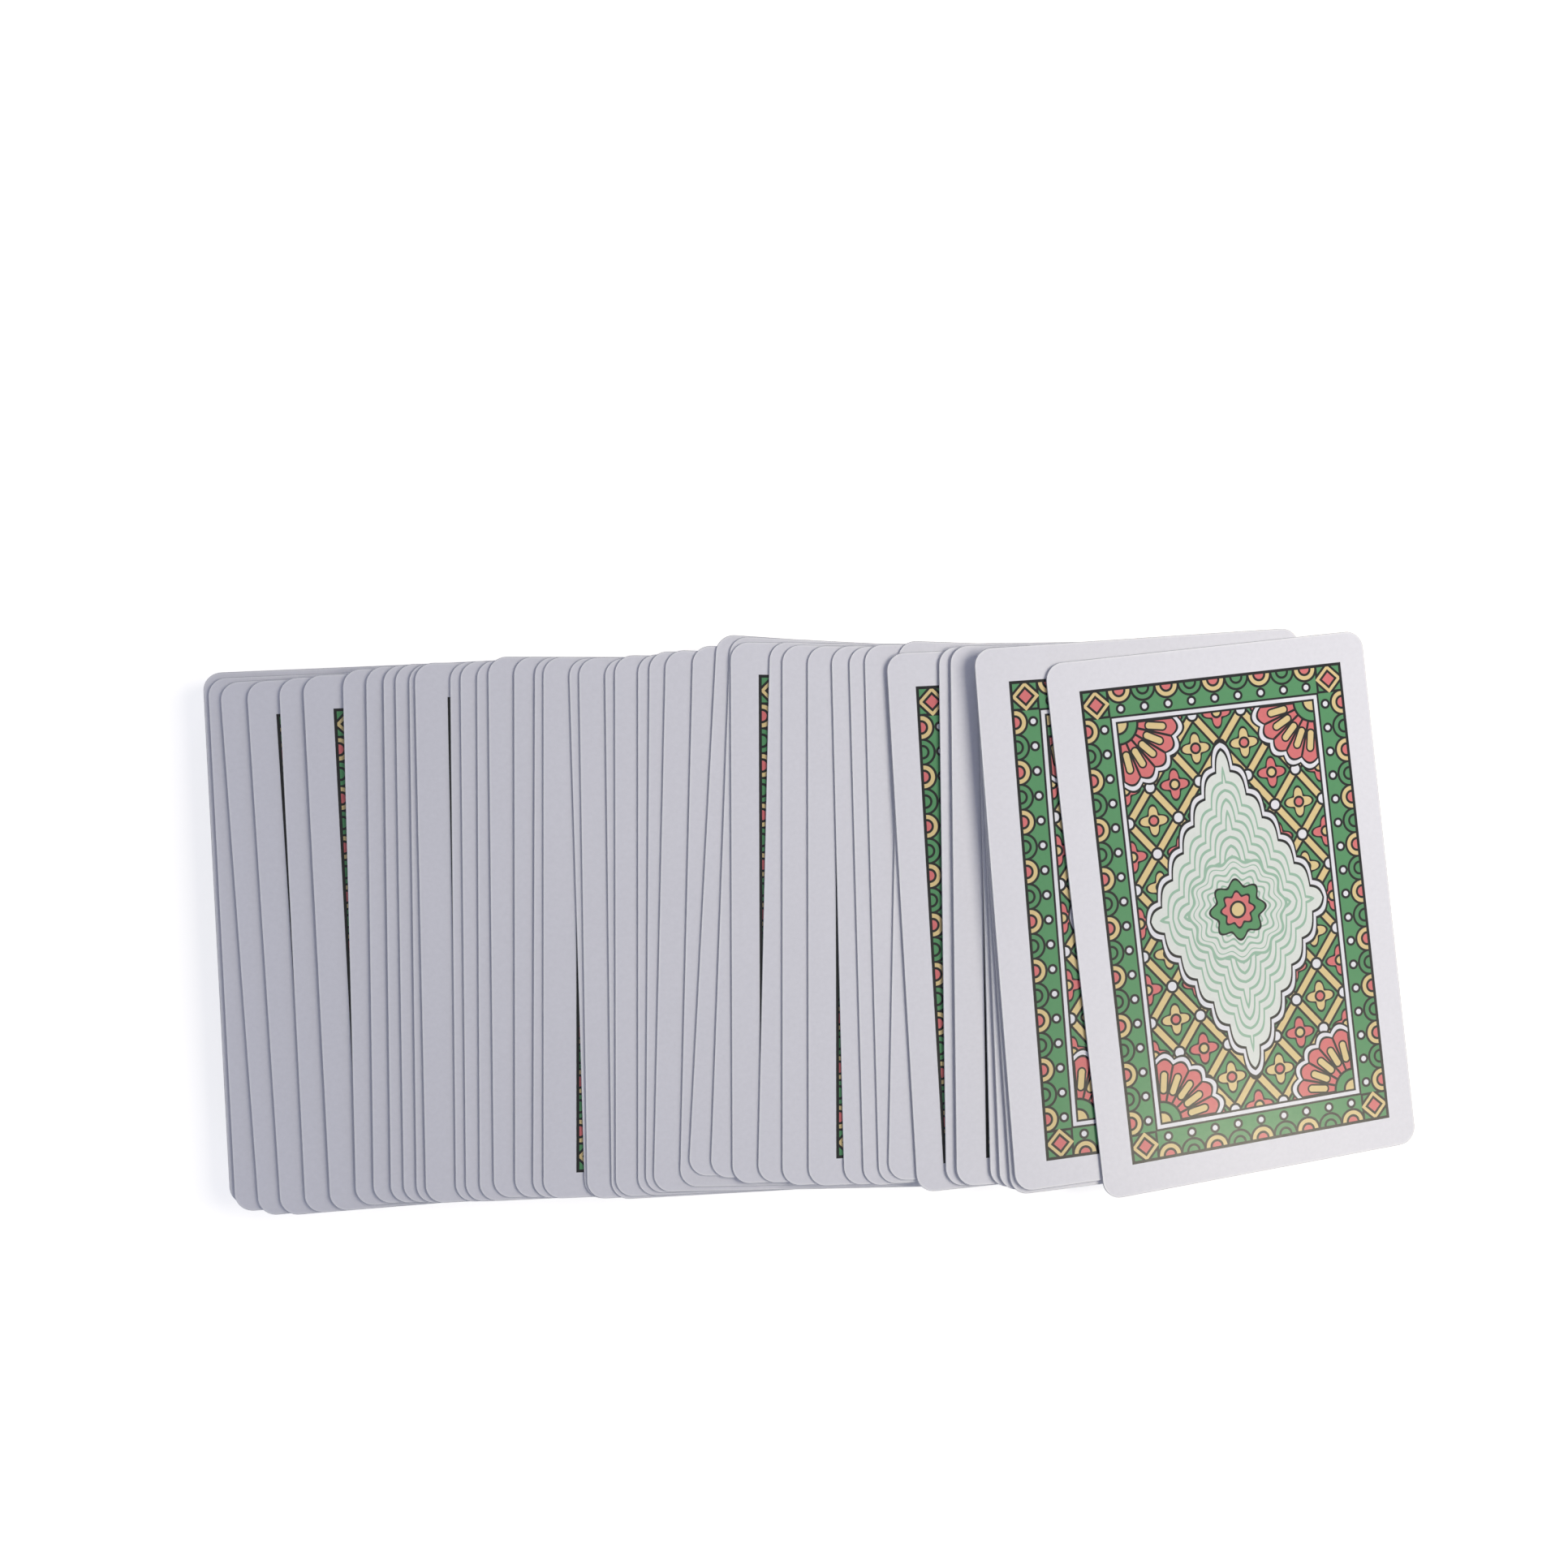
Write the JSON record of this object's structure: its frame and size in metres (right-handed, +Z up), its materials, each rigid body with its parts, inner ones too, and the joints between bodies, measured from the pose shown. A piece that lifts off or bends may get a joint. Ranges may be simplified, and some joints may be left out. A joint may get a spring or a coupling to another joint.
{
  "type": "playing card deck",
  "caption": "Deck of round-cornered playing cards spread face down in a leaning ribbon; each card slides up the card under it until the deck is squared.",
  "frame": {"origin": "centre of the underside of the bottom card, on the table", "axes": "+X along the ribbon from the bottom card to the top card, +Y along the cards' length, +Z up"},
  "size_m": [0.2058, 0.097, 0.0125],
  "materials": {
    "card_stock": "satin"
  },
  "bodies": {
    "card_01": {"card_01": "card_stock"},
    "card_02": {"card_02": "card_stock"},
    "card_03": {"card_03": "card_stock"},
    "card_04": {"card_04": "card_stock"},
    "card_05": {"card_05": "card_stock"},
    "card_06": {"card_06": "card_stock"},
    "card_07": {"card_07": "card_stock"},
    "card_08": {"card_08": "card_stock"},
    "card_09": {"card_09": "card_stock"},
    "card_10": {"card_10": "card_stock"},
    "card_11": {"card_11": "card_stock"},
    "card_12": {"card_12": "card_stock"},
    "card_13": {"card_13": "card_stock"},
    "card_14": {"card_14": "card_stock"},
    "card_15": {"card_15": "card_stock"},
    "card_16": {"card_16": "card_stock"},
    "card_17": {"card_17": "card_stock"},
    "card_18": {"card_18": "card_stock"},
    "card_19": {"card_19": "card_stock"},
    "card_20": {"card_20": "card_stock"},
    "card_21": {"card_21": "card_stock"},
    "card_22": {"card_22": "card_stock"},
    "card_23": {"card_23": "card_stock"},
    "card_24": {"card_24": "card_stock"},
    "card_25": {"card_25": "card_stock"},
    "card_26": {"card_26": "card_stock"},
    "card_27": {"card_27": "card_stock"},
    "card_28": {"card_28": "card_stock"},
    "card_29": {"card_29": "card_stock"},
    "card_30": {"card_30": "card_stock"},
    "card_31": {"card_31": "card_stock"},
    "card_32": {"card_32": "card_stock"},
    "card_33": {"card_33": "card_stock"},
    "card_34": {"card_34": "card_stock"},
    "card_35": {"card_35": "card_stock"},
    "card_36": {"card_36": "card_stock"},
    "card_37": {"card_37": "card_stock"},
    "card_38": {"card_38": "card_stock"},
    "card_39": {"card_39": "card_stock"},
    "card_40": {"card_40": "card_stock"},
    "card_41": {"card_41": "card_stock"},
    "card_42": {"card_42": "card_stock"},
    "card_43": {"card_43": "card_stock"},
    "card_44": {"card_44": "card_stock"},
    "card_45": {"card_45": "card_stock"},
    "card_46": {"card_46": "card_stock"},
    "card_47": {"card_47": "card_stock"},
    "card_48": {"card_48": "card_stock"},
    "card_49": {"card_49": "card_stock"},
    "card_50": {"card_50": "card_stock"},
    "card_51": {"card_51": "card_stock"},
    "card_52": {"card_52": "card_stock"}
  },
  "joints": [
    {"name": "card_02_slide", "type": "slide", "parent": "card_01", "child": "card_02", "axis": [-0.9999, 0, 0.0102], "range_m": [0, 0.000396]},
    {"name": "card_03_slide", "type": "slide", "parent": "card_02", "child": "card_03", "axis": [-0.9998, 0, 0.0218], "range_m": [0, 0.000264]},
    {"name": "card_04_slide", "type": "slide", "parent": "card_03", "child": "card_04", "axis": [-0.9994, 0, 0.0333], "range_m": [0, 0.000396]},
    {"name": "card_05_slide", "type": "slide", "parent": "card_04", "child": "card_05", "axis": [-0.999, 0, 0.0448], "range_m": [0, 0.000264]},
    {"name": "card_06_slide", "type": "slide", "parent": "card_05", "child": "card_06", "axis": [-0.9984, 0, 0.0564], "range_m": [0, 0.000396]},
    {"name": "card_07_slide", "type": "slide", "parent": "card_06", "child": "card_07", "axis": [-0.9977, 0, 0.0679], "range_m": [0, 0.000264]},
    {"name": "card_08_slide", "type": "slide", "parent": "card_07", "child": "card_08", "axis": [-0.9968, 0, 0.0794], "range_m": [0, 0.000132]},
    {"name": "card_09_slide", "type": "slide", "parent": "card_08", "child": "card_09", "axis": [-0.9965, 0, 0.0833], "range_m": [0, 0.00106]},
    {"name": "card_10_slide", "type": "slide", "parent": "card_09", "child": "card_10", "axis": [-0.9962, 0, 0.0871], "range_m": [0, 0.00304]},
    {"name": "card_11_slide", "type": "slide", "parent": "card_10", "child": "card_11", "axis": [-0.9959, 0, 0.091], "range_m": [0, 0.00409]},
    {"name": "card_12_slide", "type": "slide", "parent": "card_11", "child": "card_12", "axis": [-0.9955, 0, 0.0948], "range_m": [0, 0.00475]},
    {"name": "card_13_slide", "type": "slide", "parent": "card_12", "child": "card_13", "axis": [-0.995, 0, 0.0999], "range_m": [0, 0.00409]},
    {"name": "card_14_slide", "type": "slide", "parent": "card_13", "child": "card_14", "axis": [-0.9945, 0, 0.105], "range_m": [0, 0.00541]},
    {"name": "card_15_slide", "type": "slide", "parent": "card_14", "child": "card_15", "axis": [-0.9941, 0, 0.1089], "range_m": [0, 0.00343]},
    {"name": "card_16_slide", "type": "slide", "parent": "card_15", "child": "card_16", "axis": [-0.9936, 0, 0.1127], "range_m": [0, 0.0029]},
    {"name": "card_17_slide", "type": "slide", "parent": "card_16", "child": "card_17", "axis": [-0.9933, 0, 0.1153], "range_m": [0, 0.00211]},
    {"name": "card_18_slide", "type": "slide", "parent": "card_17", "child": "card_18", "axis": [-0.993, 0, 0.1179], "range_m": [0, 0.00224]},
    {"name": "card_19_slide", "type": "slide", "parent": "card_18", "child": "card_19", "axis": [-0.9927, 0, 0.1204], "range_m": [0, 0.00132]},
    {"name": "card_20_slide", "type": "slide", "parent": "card_19", "child": "card_20", "axis": [-0.9926, 0, 0.1217], "range_m": [0, 0.00528]},
    {"name": "card_21_slide", "type": "slide", "parent": "card_20", "child": "card_21", "axis": [-0.9924, 0, 0.123], "range_m": [0, 0.00172]},
    {"name": "card_22_slide", "type": "slide", "parent": "card_21", "child": "card_22", "axis": [-0.9923, 0, 0.1243], "range_m": [0, 0.00251]},
    {"name": "card_23_slide", "type": "slide", "parent": "card_22", "child": "card_23", "axis": [-0.9921, 0, 0.1255], "range_m": [0, 0.00211]},
    {"name": "card_24_slide", "type": "slide", "parent": "card_23", "child": "card_24", "axis": [-0.9919, 0, 0.1268], "range_m": [0, 0.00383]},
    {"name": "card_25_slide", "type": "slide", "parent": "card_24", "child": "card_25", "axis": [-0.9918, 0, 0.1281], "range_m": [0, 0.00317]},
    {"name": "card_26_slide", "type": "slide", "parent": "card_25", "child": "card_26", "axis": [-0.9918, 0, 0.1281], "range_m": [0, 0.00158]},
    {"name": "card_27_slide", "type": "slide", "parent": "card_26", "child": "card_27", "axis": [-0.9918, 0, 0.1281], "range_m": [0, 0.00541]},
    {"name": "card_28_slide", "type": "slide", "parent": "card_27", "child": "card_28", "axis": [-0.9918, 0, 0.1281], "range_m": [0, 0.00106]},
    {"name": "card_29_slide", "type": "slide", "parent": "card_28", "child": "card_29", "axis": [-0.9918, 0, 0.1281], "range_m": [0, 0.00409]},
    {"name": "card_30_slide", "type": "slide", "parent": "card_29", "child": "card_30", "axis": [-0.9918, 0, 0.1281], "range_m": [0, 0.00119]},
    {"name": "card_31_slide", "type": "slide", "parent": "card_30", "child": "card_31", "axis": [-0.9918, 0, 0.1281], "range_m": [0, 0.0037]},
    {"name": "card_32_slide", "type": "slide", "parent": "card_31", "child": "card_32", "axis": [-0.9918, 0, 0.1281], "range_m": [0, 0.00158]},
    {"name": "card_33_slide", "type": "slide", "parent": "card_32", "child": "card_33", "axis": [-0.9918, 0, 0.1281], "range_m": [0, 0.00198]},
    {"name": "card_34_slide", "type": "slide", "parent": "card_33", "child": "card_34", "axis": [-0.9918, 0, 0.1281], "range_m": [0, 0.00436]},
    {"name": "card_35_slide", "type": "slide", "parent": "card_34", "child": "card_35", "axis": [-0.9918, 0, 0.1281], "range_m": [0, 0.00264]},
    {"name": "card_36_slide", "type": "slide", "parent": "card_35", "child": "card_36", "axis": [-0.9918, 0, 0.1281], "range_m": [0, 0.0029]},
    {"name": "card_37_slide", "type": "slide", "parent": "card_36", "child": "card_37", "axis": [-0.9918, 0, 0.1281], "range_m": [0, 0.00185]},
    {"name": "card_38_slide", "type": "slide", "parent": "card_37", "child": "card_38", "axis": [-0.9918, 0, 0.1281], "range_m": [0, 0.00528]},
    {"name": "card_39_slide", "type": "slide", "parent": "card_38", "child": "card_39", "axis": [-0.9918, 0, 0.1281], "range_m": [0, 0.00304]},
    {"name": "card_40_slide", "type": "slide", "parent": "card_39", "child": "card_40", "axis": [-0.9918, 0, 0.1281], "range_m": [0, 0.00422]},
    {"name": "card_41_slide", "type": "slide", "parent": "card_40", "child": "card_41", "axis": [-0.9918, 0, 0.1281], "range_m": [0, 0.00488]},
    {"name": "card_42_slide", "type": "slide", "parent": "card_41", "child": "card_42", "axis": [-0.9918, 0, 0.1281], "range_m": [0, 0.00304]},
    {"name": "card_43_slide", "type": "slide", "parent": "card_42", "child": "card_43", "axis": [-0.9918, 0, 0.1281], "range_m": [0, 0.00251]},
    {"name": "card_44_slide", "type": "slide", "parent": "card_43", "child": "card_44", "axis": [-0.9918, 0, 0.1281], "range_m": [0, 0.00356]},
    {"name": "card_45_slide", "type": "slide", "parent": "card_44", "child": "card_45", "axis": [-0.9914, 0, 0.1307], "range_m": [0, 0.00132]},
    {"name": "card_46_slide", "type": "slide", "parent": "card_45", "child": "card_46", "axis": [-0.9909, 0, 0.1345], "range_m": [0, 0.00673]},
    {"name": "card_47_slide", "type": "slide", "parent": "card_46", "child": "card_47", "axis": [-0.9902, 0, 0.1396], "range_m": [0, 0.00172]},
    {"name": "card_48_slide", "type": "slide", "parent": "card_47", "child": "card_48", "axis": [-0.9895, 0, 0.1448], "range_m": [0, 0.00502]},
    {"name": "card_49_slide", "type": "slide", "parent": "card_48", "child": "card_49", "axis": [-0.9887, 0, 0.1499], "range_m": [0, 0.00066]},
    {"name": "card_50_slide", "type": "slide", "parent": "card_49", "child": "card_50", "axis": [-0.9879, 0, 0.155], "range_m": [0, 0.000396]},
    {"name": "card_51_slide", "type": "slide", "parent": "card_50", "child": "card_51", "axis": [-0.9871, 0, 0.1601], "range_m": [0, 0.000132]},
    {"name": "card_52_slide", "type": "slide", "parent": "card_51", "child": "card_52", "axis": [-0.9865, 0, 0.164], "range_m": [0, 0.01333]}
  ]
}
